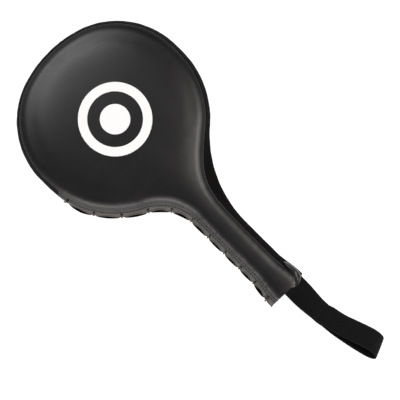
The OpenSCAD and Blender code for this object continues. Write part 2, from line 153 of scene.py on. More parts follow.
def fall(y, half, r):
    """The outline below the belly: the belly's arc, then the neck's, then the grip."""
    centre = neck_centre_y(half, r)
    join_y = BELLY_Y - HALF_HEAD * (BELLY_Y - centre) / (HALF_HEAD + r)
    if y > join_y:
        x = math.sqrt(HALF_HEAD ** 2 - (y - BELLY_Y) ** 2)
        return Station(x, y, x, y - BELLY_Y)
    if y > centre:
        x = math.sqrt(r ** 2 - (y - centre) ** 2)
        return Station(half + r - x + widening(y), y, x, centre - y)
    return Station(half + widening(y), y, 1, 0)


CROWN_STEPS = 14
SHOULDER_STEPS = 36
BELLY_STEPS = 24
FALL_STEPS = 84


def side(half, r):
    """One side of the outline, from the crown to the grip's end."""
    join = math.atan2(SHOULDER_Y - CROWN_Y, HALF_HEAD - SHOULDER_R)
    top_y = BELLY_Y - HALF_HEAD * math.sin(BELLY_ANGLE)
    line = arc(0, CROWN_Y, CROWN_R, math.pi / 2, join, CROWN_STEPS, 0)
    line += arc(HALF_HEAD - SHOULDER_R, SHOULDER_Y, SHOULDER_R, join, 0, SHOULDER_STEPS)
    line += arc(0, BELLY_Y, HALF_HEAD, 0, -BELLY_ANGLE, BELLY_STEPS, 0)
    line += [fall(mix(top_y, END_Y, i / FALL_STEPS), half, r) for i in range(1, FALL_STEPS + 1)]
    for a, b in zip(line, line[1:]):
        b.s = a.s + (b.p - a.p).length
    return line


RIGHT = side(GRIP_RIGHT, NECK_RIGHT_R)
LEFT = side(GRIP_LEFT, NECK_LEFT_R)
for station in LEFT:
    station.p.x *= -1
    station.n.x *= -1
OUTLINE = LEFT[:0:-1] + RIGHT
SIDE_COUNT = len(RIGHT)


def left_at(s):
    """The laced side's outline at a distance from the crown."""
    for a, b in zip(LEFT, LEFT[1:]):
        if b.s >= s:
            break
    t = min(3, (s - a.s) / (b.s - a.s))
    here = Station(*a.p.lerp(b.p, t), *a.n.lerp(b.n, t))
    here.s = s
    return here


# ---------------------------------------------------------------- lacing

PAIRS = 11
LACED = 290
LACE_SPREAD = 0.4
LACE_END_IN = 10
LAST_HOLE = LEFT[-1].s - LACE_END_IN
FIRST_HOLE = LAST_HOLE - LACED
FACING_START = FIRST_HOLE - 14
HOLE_FROM_EDGE = 4.2
HOLE_D = 3
LACE_D = 2.2
LIP_CLOSE = 0.2
HOLES = [
    FIRST_HOLE + LACED * u * (1 + LACE_SPREAD / 2 * (1 - u))
    for u in [k / (PAIRS - 1) for k in range(PAIRS)]
]

LIP_W = 6.0
NECK_LIP = 1.5
NECK_LIP_AT = 0.42
NECK_LIP_LEN = 62
# How wide each span between two pairs of holes gapes, as a share of the widest
GAPES = [0.95, 0.7, 0.75, 0.85, 0.95, 0.85, 0.8, 0.8, 0.85, 1.1]
NOTCH = 2.0
NOTCH_HALF_W = 2.6


def from_hole(s):
    """The distance to the nearest pair of holes."""
    return min(abs(s - h) for h in HOLES)


def lip_w(s):
    """How far the lips stand out of the outline, before the lace pulls notches into them."""
    at_neck = smooth(1 - abs(s - mix(FIRST_HOLE, LAST_HOLE, NECK_LIP_AT)) / NECK_LIP_LEN)
    return (LIP_W + NECK_LIP * at_neck) * mix(0.2, 1, smooth((s - FACING_START) / 36))


def open_at(s):
    """How open the lips are: none at a hole, most halfway to the next."""
    for a, b, gape in zip(HOLES, HOLES[1:], GAPES):
        if a < s < b:
            return gape * math.sin(math.pi * (s - a) / (b - a)) ** 1.5
    return 0


# ---------------------------------------------------------------- mesh helpers


def set_ring(verts, points):
    for v, p in zip(verts, points):
        v.co = p


def chain(bm, points):
    """A run of vertices with edges between them."""
    verts = [bm.verts.new(p) for p in points]
    edges = [bm.edges.new(pair) for pair in zip(verts, verts[1:])]
    return verts, edges


def pull(bm, verts, edges, points):
    """Extrudes a run of edges and puts its vertices at new points."""
    grown = bmesh.ops.extrude_edge_only(bm, edges=edges)["geom"]
    new_edges = [e for e in grown if isinstance(e, bmesh.types.BMEdge)]
    follows = {}
    for v in verts:
        for e in v.link_edges:
            other = e.other_vert(v)
            if other not in follows and other in grown and e not in new_edges:
                follows[v] = other
    new_verts = [follows[v] for v in verts]
    set_ring(new_verts, points)
    by_ends = {frozenset(e.verts): e for e in new_edges}
    ends = list(zip(new_verts, new_verts[1:]))
    if len(edges) == len(verts):
        ends.append((new_verts[-1], new_verts[0]))
    return new_verts, [by_ends[frozenset(pair)] for pair in ends]


def sweep(bm, rows, closed=False):
    """Pulls a skin through rows of equal length. Gives each row's vertices and edges."""
    verts, edges = chain(bm, rows[0])
    if closed:
        edges.append(bm.edges.new((verts[-1], verts[0])))
    rings = [(verts, edges)]
    for row in rows[1:]:
        rings.append(pull(bm, *rings[-1], row))
    return rings


def fill_across(bm, ring, rungs):
    """Closes a face: the row round its outline is joined from the laced side to the closed side."""
    verts, edges = ring
    left, right = verts[SIDE_COUNT - 1::-1], verts[SIDE_COUNT - 1:]
    ends = [(a.co.copy(), b.co.copy()) for a, b in zip(left, right)]
    by_ends = {frozenset(e.verts): e for e in edges}
    run, edges = left, [by_ends[frozenset(pair)] for pair in zip(left, left[1:])]
    for k in range(1, rungs + 1):
        run, edges = pull(bm, run, edges, [a.lerp(b, k / rungs) for a, b in ends])


def settle(bm, up=None, weld=0.001):
    """Merges doubles and turns the faces outwards, or so that most look along up."""
    bmesh.ops.remove_doubles(bm, verts=bm.verts, dist=weld)
    bmesh.ops.recalc_face_normals(bm, faces=bm.faces)
    if up is not None:
        total = sum((f.normal * f.calc_area() for f in bm.faces), Vector())
        if total.dot(Vector(up)) < 0:
            bmesh.ops.reverse_faces(bm, faces=bm.faces)


def made(name, bm):
    """A finished bmesh as a smooth object, in metres."""
    bmesh.ops.transform(bm, matrix=Matrix.Scale(MM, 4), verts=bm.verts)
    mesh = bpy.data.meshes.new(name)
    bm.to_mesh(mesh)
    bm.free()
    mesh.polygons.foreach_set("use_smooth", [True] * len(mesh.polygons))
    obj = bpy.data.objects.new(name, mesh)
    bpy.context.scene.collection.objects.link(obj)
    return obj


def apply_all(obj, sharp=None):
    """Turns the modifiers into mesh."""
    bpy.context.view_layer.update()
    graph = bpy.context.evaluated_depsgraph_get()
    mesh = bpy.data.meshes.new_from_object(obj.evaluated_get(graph))
    obj.modifiers.clear()
    obj.data = mesh
    if sharp:
        mesh.polygons.foreach_set("use_smooth", [True] * len(mesh.polygons))
        mesh.set_sharp_from_angle(angle=math.radians(sharp))
    return obj


def thicken(obj, t, offset=-1, edge=0.3):
    """Gives a skin its thickness, and rounds the rim."""
    wall = obj.modifiers.new("wall", "SOLIDIFY")
    wall.thickness = t * MM
    wall.offset = offset
    # Even thickness would make spikes at tiny faces
    wall.use_even_offset = False
    rim = obj.modifiers.new("rim", "BEVEL")
    rim.width = edge * MM
    rim.segments = 2
    rim.limit_method = "ANGLE"
    rim.angle_limit = math.radians(50)
    return apply_all(obj)


def catmull(points, per_span):
    """A smooth route through given points."""
    out = []
    n = len(points)
    for i in range(n - 1):
        a, b, c, d = points[max(i - 1, 0)], points[i], points[i + 1], points[min(i + 2, n - 1)]
        for k in range(per_span):
            t = k / per_span
            out.append(
                0.5 * (2 * b + (c - a) * t + (2 * a - 5 * b + 4 * c - d) * t * t
                       + (3 * b - a - 3 * c + d) * t ** 3)
            )
    return out + [points[-1]]


def ahead(route):
    """The way a route runs at each of its points."""
    last = len(route) - 1
    return [(route[min(i + 1, last)] - route[max(i - 1, 0)]).normalized() for i in range(last + 1)]


def running(route, start=0.0):
    """The distance along a route at each of its points."""
    lengths = [start]
    for a, b in zip(route, route[1:]):
        lengths.append(lengths[-1] + (b - a).length)
    return lengths


# A cord's thickness at its end, just before it, and from there on
CORD_END = (0.62, 0.9, 1.0)


def tube(route, radius, sides):
    """A round cord along a route, closed at both ends, with length and turn in its UV map."""
    bm = bmesh.new()
    uv = bm.loops.layers.uv.verify()
    last = len(route) - 1
    aims = ahead(route)
    side_way = aims[0].orthogonal().normalized()
    rows = []
    for i, (p, aim) in enumerate(zip(route, aims)):
        side_way = (side_way - aim * side_way.dot(aim)).normalized()
        other = aim.cross(side_way)
        r = radius * CORD_END[min(i, last - i, 2)]
        turns = [2 * math.pi * k / sides for k in range(sides)]
        rows.append([p + side_way * math.cos(a) * r + other * math.sin(a) * r for a in turns])
    rings = sweep(bm, rows, True)
    place = {}
    for along, (verts, _) in zip(running(route), rings):
        for k, v in enumerate(verts):
            place[v] = (along, k / sides)
    bmesh.ops.edgeloop_fill(bm, edges=rings[0][1])
    bmesh.ops.edgeloop_fill(bm, edges=rings[-1][1])
    bmesh.ops.recalc_face_normals(bm, faces=bm.faces)
    for f in bm.faces:
        turns = [place[l.vert][1] for l in f.loops]
        wraps = max(turns) - min(turns) > 0.5
        for l in f.loops:
            u, v = place[l.vert]
            l[uv].uv = (u, v + 1 if wraps and v < 0.5 else v)
    return bm


# ---------------------------------------------------------------- materials


class Sock:
    """A socket that can be used in sums."""

    def __init__(self, mat, socket):
        self.mat = mat
        self.socket = socket

    def _sum(self, operation, other, swap=False):
        pair = (other, self) if swap else (self, other)
        return self.mat.node("ShaderNodeMath", {"operation": operation}, pair)

    def __add__(self, other):
        return self._sum("ADD", other)

    def __radd__(self, other):
        return self._sum("ADD", other, True)

    def __sub__(self, other):
        return self._sum("SUBTRACT", other)

    def __rsub__(self, other):
        return self._sum("SUBTRACT", other, True)

    def __mul__(self, other):
        return self._sum("MULTIPLY", other)

    def __rmul__(self, other):
        return self._sum("MULTIPLY", other, True)

    def __truediv__(self, other):
        return self._sum("DIVIDE", other)


class Mat:
    """A material and its nodes."""

    def __init__(self, name, colour, roughness, **fixed):
        self.mat = bpy.data.materials.new(name)
        self.mat.use_nodes = True
        self.tree = self.mat.node_tree
        self.shader = self.tree.nodes["Principled BSDF"]
        self.put(self.shader.inputs["Base Color"], colour)
        self.put(self.shader.inputs["Roughness"], roughness)
        for key, value in fixed.items():
            self.put(self.shader.inputs[key.replace("_", " ")], value)
        self.mat.diffuse_color = (*colour, 1)

    def put(self, socket, value):
        if isinstance(value, Sock):
            self.tree.links.new(value.socket, socket)
        elif isinstance(value, (tuple, list)) and len(value) == 3 and socket.type == "RGBA":
            socket.default_value = (*value, 1)
        else:
            socket.default_value = value

    def node(self, kind, settings=None, values=(), out=0):
        """Makes a node; values go to its sockets by order, or by name if they are a dict."""
        n = self.tree.nodes.new(kind)
        for key, value in (settings or {}).items():
            setattr(n, key, value)
        pairs = values.items() if isinstance(values, dict) else enumerate(values)
        for key, value in pairs:
            self.put(n.inputs[key], value)
        return Sock(self, n.outputs[out])

    def fn(self, operation, *values):
        return self.node("ShaderNodeMath", {"operation": operation}, values)

    def place(self, scale=1000.0, source="Object"):
        """Where a point is, in millimetres unless another scale is given."""
        n = self.node("ShaderNodeTexCoord", out=3 if source == "Object" else 2)
        return self.node("ShaderNodeMapping", {}, {"Vector": n, "Scale": (scale, scale, scale)})

    def noise(self, where, scale, detail=3.0, roughness=0.55):
        """Soft noise from 0 to 1, with that many waves a millimetre."""
        wants = {"Vector": where, "Scale": scale, "Detail": detail, "Roughness": roughness}
        return self.node("ShaderNodeTexNoise", {}, wants)

    def cells(self, where, scale, feature="F1"):
        return self.node("ShaderNodeTexVoronoi", {"feature": feature}, {"Vector": where, "Scale": scale})

    def spread(self, value, low, high, to_low=0.0, to_high=1.0):
        """Maps a range of value onto another, held at both ends."""
        wants = {"Value": value, "From Min": low, "From Max": high, "To Min": to_low, "To Max": to_high}
        return self.node("ShaderNodeMapRange", {"clamp": True}, wants)

    def blend(self, share, a, b):
        n = self.node("ShaderNodeMix", {"data_type": "RGBA"}, out=2)
        node = n.socket.node
        self.put(node.inputs[0], share)
        self.put(node.inputs[6], a)
        self.put(node.inputs[7], b)
        return n

    def split(self, vector):
        n = self.node("ShaderNodeSeparateXYZ", {}, (vector,))
        return [Sock(self, s) for s in n.socket.node.outputs]

    def colour(self, value):
        self.put(self.shader.inputs["Base Color"], value)

    def rough(self, value):
        self.put(self.shader.inputs["Roughness"], value)

    def bump(self, height, distance, strength):
        """Relief, where height 1 stands that many millimetres out."""
        wants = {"Height": height, "Distance": distance * MM, "Strength": strength}
        self.put(self.shader.inputs["Normal"], self.node("ShaderNodeBump", {}, wants))


def leatherette(name, colour, light, roughness, creases=0.0, scuff=0.25, spec=0.5, lip=None):
    """Artificial leather: pebbled grain with fine pores, faint mottling, rubbed tops, and pale lips that are
    a painted highlight.
    """
    m = Mat(name, colour, roughness, Specular_IOR_Level=spec)
    where = m.place()
    warp = m.noise(where, 0.9, 2)
    grain = m.cells(where, 0.95, "DISTANCE_TO_EDGE")
    pebbles = m.spread(grain, 0.0, 0.32)
    pores = m.spread(m.cells(where, 2.6), 0.05, 0.4)
    fine = m.noise(where, 3.4, 4)
    broad = m.noise(where, 0.016, 4, 0.6)
    relief = pebbles * 0.6 + pores * 0.22 + fine * 0.22 + warp * 0.3
    if creases:
        crease = m.node("ShaderNodeTexNoise", {"noise_type": "RIDGED_MULTIFRACTAL"},
                        {"Vector": where, "Scale": 0.05, "Detail": 3.0})
        relief = relief + m.spread(crease, 0.4, 1.6) * creases
    m.bump(relief, 0.07, 0.55)
    rubbed = m.spread(broad, 0.42, 0.68) * scuff
    tone = m.blend(rubbed, colour, light)
    # Painted highlight: towards the middle plane the colour turns to the pale lip colour, on the facings'
    # lips.
    if lip:
        lip_highlight_distance = m.fn("ABSOLUTE", m.split(where)[2] - MID_Z)
        tone = m.blend(m.spread(lip_highlight_distance, 1.5, 8.0), lip, tone)
    # Painted shade: the valleys between the grain's pebbles are darkened.
    painted_shade_in_grain = m.blend(m.spread(pebbles, 0.0, 0.5, 0.35, 0.0), tone, tuple(0.45 * c for c in colour))
    m.colour(painted_shade_in_grain)
    m.rough(roughness + (broad - 0.5) * 0.12 + (1 - pebbles) * 0.06)
    return m.mat


def woven(name, colour, light):
    """Webbing: ribs across the band, each rib crossed by fine twill yarns, and a bound edge."""
    m = Mat(name, colour, 0.8, Specular_IOR_Level=0.12, Sheen_Weight=0.02, Sheen_Roughness=0.5)
    u, v, _ = m.split(m.place(1.0, "UV"))
    rib = m.fn("ABSOLUTE", m.fn("SINE", u * (math.pi / 1.5)))
    yarn = m.fn("ABSOLUTE", m.fn("SINE", v * (math.pi / 0.62) + u * 1.6))
    edge = m.spread(m.fn("ABSOLUTE", v), 13.2, 14.4)
    fluff = m.noise(m.place(), 4.0, 4)
    height = rib * (1 - edge * 0.7) * 0.7 + yarn * 0.35 + fluff * 0.25
    m.bump(height, 0.22, 0.7)
    worn = m.spread(m.noise(m.place(), 0.05, 4), 0.45, 0.75)
    # Painted highlight on the crests of ribs and yarns, painted shade in the hollows between them; worn adds
    # random wear.
    tone = m.blend(m.spread(rib * yarn, 0.1, 0.9, 0.0, 0.7) + worn * 0.2, colour, light)
    m.colour(tone)
    m.rough(0.86 - rib * 0.14)
    return m.mat


def cordage(name, colour, light, pitch, strands, roughness):
    """Twisted or braided cord, from its UV map: length in millimetres and turn."""
    m = Mat(name, colour, roughness, Specular_IOR_Level=0.4)
    u, v, _ = m.split(m.place(1.0, "UV"))
    one = m.fn("SINE", (v * strands + u / pitch) * (2 * math.pi))
    two = m.fn("SINE", (v * strands - u / pitch) * (2 * math.pi))
    weave = m.fn("MAXIMUM", one, two)
    fine = m.noise(m.place(), 5.0, 3)
    m.bump(weave * 0.5 + fine * 0.3, 0.18, 0.7)
    # Painted highlight on the strands' crests and painted shade between them; the fine noise is random tone.
    m.colour(m.blend(m.spread(weave, -0.2, 1.0, 0.0, 0.6) + fine * 0.2, colour, light))
    m.rough(roughness + fine * 0.12)
    return m.mat


def thread_finish(name, colour, light):
    """Sewing thread: three plies that twist, on each short stitch."""
    m = Mat(name, colour, 0.55, Specular_IOR_Level=0.4)
    where = m.place()
    x, y, z = m.split(where)
    ply = m.fn("SINE", (x + y * 0.8 + z) * 9.0)
    fine = m.noise(where, 6.0, 2)
    m.bump(ply * 0.5 + fine * 0.3, 0.06, 0.7)
    # Painted highlight on each ply's crest and painted shade between the plies.
    m.colour(m.blend(m.spread(ply, -0.6, 1.0, 0.0, 0.7), colour, light))
    m.rough(0.5 + fine * 0.2)
    return m.mat


def print_finish(name):
    """Screen print on leather: the grain shows through, with pinholes and faint cracks."""
    m = Mat(name, (0.95, 0.95, 0.96), 0.45, Specular_IOR_Level=0.45)
    where = m.place()
    pebbles = m.spread(m.cells(where, 0.95, "DISTANCE_TO_EDGE"), 0.0, 0.3)
    cracks = m.spread(m.cells(where, 0.22, "DISTANCE_TO_EDGE"), 0.0, 0.012)
    holes = m.spread(m.cells(where, 0.6), 0.04, 0.09)
    broad = m.noise(where, 0.05, 3)
    m.bump(pebbles * 0.8 + cracks * 0.2, 0.05, 0.5)
    whole = m.fn("MINIMUM", m.spread(cracks, 0.0, 1.0, 0.8, 1.0), m.spread(holes, 0.0, 1.0, 0.72, 1.0))
    m.colour(m.blend(whole, (0.55, 0.55, 0.56), m.blend(broad, (0.92, 0.92, 0.93), (0.96, 0.96, 0.97))))
    m.rough(0.4 + (1 - pebbles) * 0.12 + broad * 0.08)
    return m.mat


def foam_finish(name, colour, light):
    """Cut foam: open cells of mixed sizes."""
    m = Mat(name, colour, 0.9, Specular_IOR_Level=0.2)
    where = m.place()
    big = m.spread(m.cells(where, 0.7), 0.1, 0.7)
    small = m.spread(m.cells(where, 2.0), 0.1, 0.7)
    m.bump(big * 0.6 + small * 0.4, 0.4, 0.8)
    # Painted shade: the cells' hollows are darker and their walls lighter.
    m.colour(m.blend(big * 0.5 + small * 0.5, colour, light))
    m.rough(0.85 + small * 0.1)
    return m.mat


def board_finish(name, colour, light):
    """Pressed board: flat fibres and specks."""
    m = Mat(name, colour, 0.7, Specular_IOR_Level=0.35)
    where = m.place()
    stretched = m.node("ShaderNodeMapping", {}, {"Vector": where, "Scale": (0.25, 1.6, 0.4)})
    fibres = m.noise(stretched, 0.9, 6, 0.7)
    specks = m.spread(m.cells(where, 0.5), 0.05, 0.2)
    m.bump(fibres * 0.7 + specks * 0.3, 0.15, 0.6)
    m.colour(m.blend(m.spread(fibres, 0.3, 0.7), colour, light))
    m.rough(0.6 + fibres * 0.2)
    return m.mat


FACE = leatherette("face_leather", (0.0052, 0.0049, 0.0050), (0.0095, 0.0089, 0.0088), 0.35)
GUSSET = leatherette("gusset_leather", (0.0060, 0.0057, 0.0055), (0.0115, 0.0108, 0.0105), 0.62,
                     creases=0.5, spec=0.02)
# The facings' leather is the same black leather painted lighter, a painted highlight for light glancing off
# the facings; the lip colour paints a paler highlight still along their lips.
TRIM_PAINTED_LIGHT = leatherette("facing_leather_painted_light", (0.014, 0.0126, 0.0118), (0.024, 0.0216, 0.020), 0.4,
                   creases=0.2, scuff=0.6, lip=(0.135, 0.121, 0.111))
WEB = woven("black_webbing", (0.002, 0.002, 0.0021), (0.0062, 0.0062, 0.0064))
LACE = cordage("waxed_lace", (0.030, 0.027, 0.025), (0.095, 0.087, 0.080), 2.4, 3, 0.42)
THREAD = thread_finish("sewing_thread", (0.007, 0.0065, 0.0065), (0.020, 0.019, 0.018))
HEM_THREAD = thread_finish("hem_thread", (0.018, 0.017, 0.016), (0.06, 0.056, 0.052))
PRINT = print_finish("white_print")
FOAM = foam_finish("grey_foam", (0.016, 0.016, 0.017), (0.034, 0.034, 0.036))
BOARD = board_finish("grey_board", (0.2, 0.2, 0.21), (0.34, 0.34, 0.36))


def dress(obj, material):
    obj.data.materials.clear()
    obj.data.materials.append(material)
    return obj


def on_paddle(obj, material, slot, *nodes):
    dress(obj, material)
    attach(obj, "paddle")
    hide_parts(*nodes)


# ---------------------------------------------------------------- face panels

# Places round the rolled edge: how far round, in degrees
ROLL = [0, 9, 18, 27, 36, 45, 54, 63, 72, 81, 90]
RUNGS = 34
SINK = 0.2
CROWN = 6.5
GRIP_ROUND = 1.7
# The back's padding as a share of the front's
BACK_FULL = 0.45
# The edge that is tucked in under the roll: (further in than the seam, up)
TUCKED_EDGE = [(2.3, -2.0), (1.2, -1.1), (0.35, -0.35)]
PANEL_LIFT = 0.4
CROWN_EVENED = 20
# The padding starts this far inside the outline and reaches most of its height within the reach
PAD_EDGE = 2
PAD_REACH = 30
PAD_SHAPE = 1.4
LUMPS = 0.35
# The hollow that the lace pulls at each pair of holes: how deep, how far to each side, how far in
PULL = 0.45
PULL_HALF_W = 6
PULL_LEN = 14


def roll_point(st, inset, turn):
    """A point of a face's rolled edge above the outline, as (in from the outline, up)."""
    inset = inset + st.wall()
    end = ROLL_IN + st.wall()
    high = half_t(st.p.y)
    a = math.radians(turn)
    return -(inset + (end - inset) * (1 - math.cos(a))), SEAM_Z + (high - SEAM_Z) * math.sin(a)


def pull_lines(st, inset):
    """Slight hollows that run in from each pair of lace holes, where the lace pulls."""
    if st.p.x > 0 or st.s < FACING_START:
        return 0
    near = from_hole(st.s)
    return -PULL * math.exp(-((near / PULL_HALF_W) ** 2)) * math.exp(-inset / PULL_LEN)


def puckers(st, strength):
    """Small gathers along a seam."""
    where = Vector((st.s * 0.11, 3.0 if st.p.x > 0 else 9.0, 0.5))
    wave = noise.noise(where) + 0.6 * noise.noise(where * 2.7)
    return strength * wave


def padding(p):
    """How far the foam stands out under a face: a plateau on the head, a round back on the grip."""
    left = min((p.xy - st.p).length for st in LEFT[::3])
    right = min((p.xy - st.p).length - st.wall() for st in RIGHT[::3])
    round_back = GRIP_ROUND * left * right / max(left + right, 1)
    depth = mix(min(left, right), round_back, smooth((NECK_TOP_Y + 50 - p.y) / 70))
    lumps = noise.noise(Vector((p.x, p.y, 0)) * 0.013) * LUMPS
    return (CROWN + lumps) * (1 - math.exp(-((max(0, depth - PAD_EDGE) / PAD_REACH) ** PAD_SHAPE)))


def face_skin():
    """The striking face's skin, above the middle."""
    rows = []
    for further, up in TUCKED_EDGE:
        inset = SEAM_IN + further
        high = SEAM_Z + up + PANEL_LIFT
        rows.append([st.at(-inset - st.wall() + puckers(st, 0.1), high) for st in OUTLINE])
    for turn in ROLL:
        row = []
        for st in OUTLINE:
            out, up = roll_point(st, SEAM_IN, turn)
            fade = math.cos(math.radians(turn))
            up += -SINK * math.sin(math.radians(turn)) + puckers(st, 0.16) * fade + pull_lines(st, -out)
            row.append(st.at(out + puckers(st, 0.2) * fade, up + PANEL_LIFT * fade))
        rows.append(row)
    bm = bmesh.new()
    rings = sweep(bm, rows)
    fill_across(bm, rings[-1], RUNGS)
    bmesh.ops.translate(bm, vec=(0, 0, MID_Z), verts=bm.verts)
    settle(bm, (0, 0, 1), 0.02)
    crown = [v for v in bm.verts if v.co.y > HALF_HEAD - CROWN_EVENED and not v.is_boundary]
    bmesh.ops.smooth_vert(bm, verts=crown, factor=0.5, use_axis_z=True)
    return bm


SIM_FRAMES = 20
SWELL_PRESSURE = 4.0
SWELL_CAP = 1.0
SWELL_FROM_SEAM = 12
EVEN_OUT = 8
VOXEL = 5.0
HELD_NEAR = 4.0
NEAREST = 14
BAG_TURN = 15
BAG_RUNGS = 8


def bag():
    """The whole cover as one closed bag, coarse and even, for the pressure to fill."""
    rows = []
    for turn in range(90, -1, -BAG_TURN):
        rows.append([st.at(*roll_point(st, SEAM_IN, turn)) for st in OUTLINE])
    for k in (0.5, 0, -0.5):
        rows.append([st.at(-(SEAM_IN + st.wall()) * k * k, SEAM_Z * k) for st in OUTLINE])
    for turn in range(0, 91, BAG_TURN):
        rows.append([st.at(*roll_point(st, SEAM_IN, turn)) for st in OUTLINE])
        for p in rows[-1]:
            p.z *= -1
    bm = bmesh.new()
    rings = sweep(bm, rows)
    fill_across(bm, rings[0], BAG_RUNGS)
    fill_across(bm, rings[-1], BAG_RUNGS)
    bmesh.ops.translate(bm, vec=(0, 0, MID_Z), verts=bm.verts)
    bmesh.ops.remove_doubles(bm, verts=bm.verts, dist=0.02)
    bmesh.ops.holes_fill(bm, edges=[e for e in bm.edges if e.is_boundary])
    bmesh.ops.recalc_face_normals(bm, faces=bm.faces)
    obj = made("bag", bm)
    even = obj.modifiers.new("even", "REMESH")
    even.mode = "VOXEL"
    even.voxel_size = VOXEL * MM
    return apply_all(obj)


def held_points():
    """Where stitches and lace hold the skin."""
    points = []
    for st in OUTLINE:
        for z in (-SEAM_Z, SEAM_Z):
            points.append(st.at(-SEAM_IN - st.wall(), MID_Z + z))
    for s in HOLES:
        points.append(left_at(s).at(0, MID_Z))
    return points


def tree_of(points):
    tree = KDTree(len(points))
    for i, p in enumerate(points):
        tree.insert(p, i)
    tree.balance()
    return tree


def swell():
    """Fills the bag by air pressure while its seams are held.

    Gives a function from a point to how far it moved.
    """
    obj = bag()
    start = [v.co / MM for v in obj.data.vertices]
    seams = tree_of(held_points())
    held = obj.vertex_groups.new(name="held")
    for i, p in enumerate(start):
        if seams.find(p)[2] < HELD_NEAR or p.y < END_Y + VOXEL:
            held.add([i], 1.0, "REPLACE")
    cloth = obj.modifiers.new("swell", "CLOTH")
    s = cloth.settings
    s.vertex_group_mass = "held"
    s.tension_stiffness = 30
    s.compression_stiffness = 30
    s.shear_stiffness = 15
    s.bending_stiffness = 8
    s.use_pressure = True
    s.uniform_pressure_force = SWELL_PRESSURE
    s.effector_weights.gravity = 0
    cloth.collision_settings.use_collision = False
    scene = bpy.context.scene
    for f in range(1, SIM_FRAMES + 1):
        scene.frame_set(f)
    graph = bpy.context.evaluated_depsgraph_get()
    moves = [v.co / MM - a for v, a in zip(obj.evaluated_get(graph).data.vertices, start)]
    ways = [v.normal.copy() for v in obj.data.vertices]
    beside = [[] for _ in start]
    for e in obj.data.edges:
        a, b = e.vertices
        beside[a].append(b)
        beside[b].append(a)
    for _ in range(EVEN_OUT):
        moves = [(m + sum((moves[j] for j in others), Vector())) / (1 + len(others))
                 for m, others in zip(moves, beside)]
    scene.frame_set(1)
    bpy.data.objects.remove(obj)
    sizes = sorted(m.length for m in moves)
    half, most = sizes[len(sizes) // 2], sizes[-1]
    print("swell: half move", round(half, 2), "most", round(most, 2), "mm of", len(sizes))
    near = tree_of(start)

    def moved(p):
        total, way, weight = Vector(), Vector(), 0.0
        for _, i, d in near.find_n(p, NEAREST):
            w = 1 / (d * d + VOXEL * VOXEL)
            total += moves[i] * w
            way += ways[i] * w
            weight += w
        step = total / weight
        way.normalize()
        step -= way * min(0, step.dot(way))
        length = max(step.length, 1e-6)
        free = smooth(seams.find(p)[2] / SWELL_FROM_SEAM)
        return step * (free * SWELL_CAP * math.tanh(length / SWELL_CAP) / length)

    return moved


def puff(bm):
    """Gives a skin the swollen shape, above the floor."""
    if swollen is None:
        return
    for v in bm.verts:
        v.co += swollen(v.co)
        v.co.z = max(v.co.z, 0.0)


FLIP = Matrix.Translation((0, 0, 2 * MID_Z)) @ Matrix.Scale(-1, 4, (0, 0, 1))


def face_panel(name, back):
    bm = face_skin()
    for v in bm.verts:
        if v.co.z > MID_Z + SEAM_Z + 2:
            v.co.z += padding(v.co) * (BACK_FULL if back else 1)
    if back:
        bmesh.ops.transform(bm, matrix=FLIP, verts=bm.verts)
        bmesh.ops.reverse_faces(bm, faces=bm.faces)
        for v in bm.verts:
            v.co.z = max(v.co.z, 0)
    puff(bm)
    obj = made(name, bm)
    thicken(obj, SKIN_T, -1, 0.4)
    on_paddle(obj, FACE, "leatherette", name.replace("_skin", ""))
    return obj


swollen = swell()
front = face_panel("front_panel_skin", False)
back = face_panel("back_panel_skin", True)


def skin_tree(obj):
    """A piece's faces, in millimetres, to be searched."""
    corners = [v.co / MM for v in obj.data.vertices]
    return BVHTree.FromPolygons(corners, [f.vertices for f in obj.data.polygons])


def surface_of(obj):
    """Looks straight down onto a piece, in millimetres."""
    tree = skin_tree(obj)

    def drop(x, y):
        hit, normal, _, _ = tree.ray_cast(Vector((x, y, 3 * FACE_Z)), Vector((0, 0, -1)))
        return hit, normal

    return drop


def nearest_on(obj):
    """Gives a function from a point to the nearest (place, way out) on a piece, in millimetres."""
    tree = skin_tree(obj)

    def found(p):
        place, normal, _, _ = tree.find_nearest(p)
        return place, normal

    return found


on_face = surface_of(front)

# ---------------------------------------------------------------- print on the face

RING_R = 44
RING_IN_R = 33
DOT_R = 18
PRINT_SEGMENTS = 144


def lay_print(bm, radii, fill):
    """Rings of print laid on the face, each at its radius."""
    ring = bmesh.ops.create_circle(bm, segments=PRINT_SEGMENTS, radius=radii[0])["verts"]
    edges = list({e for v in ring for e in v.link_edges})
    for r, last in zip(radii[1:], radii):
        out = bmesh.ops.extrude_edge_only(bm, edges=edges)["geom"]
        ring = [g for g in out if isinstance(g, bmesh.types.BMVert)]
        edges = [g for g in out if isinstance(g, bmesh.types.BMEdge)]
        bmesh.ops.scale(bm, vec=(r / last, r / last, 1), verts=ring)
    if fill:
        bmesh.ops.edgeloop_fill(bm, edges=edges)


def emblem():
    bm = bmesh.new()
    lay_print(bm, [RING_R - k * (RING_R - RING_IN_R) / 6 for k in range(7)], False)
    lay_print(bm, [DOT_R * (1 - k / 10) for k in range(10)], True)
    for v in bm.verts:
        ragged = 0.12 * noise.noise(Vector((v.co.x * 0.5, v.co.y * 0.5, 2)))
        v.co.xy *= 1 + ragged / max(8, v.co.xy.length)
        hit, _ = on_face(v.co.x, v.co.y)
        v.co.z = hit.z + 0.06
    settle(bm, (0, 0, 1))
    obj = made("printed_emblem", bm)
    wall = obj.modifiers.new("film", "SOLIDIFY")
    wall.thickness = 0.12 * MM
    wall.offset = 1
    apply_all(obj, 50)
    on_paddle(obj, PRINT, "print", "emblem")


emblem()

# ---------------------------------------------------------------- side gusset

GUSSET_STEPS = 14
GUSSET_FULL = 1.6
# How the gusset laps over the face's edge: inwards, up as a share of the roll's height, and outwards
LAP_IN = 0.45
LAP_UP = 0.58
LAP_OVER = 0.7
BELOW_SEAM = 0.9
UNDER_EDGE = 0.35
TUCK_IN = 2.2
GATHER_MOST = 0.3


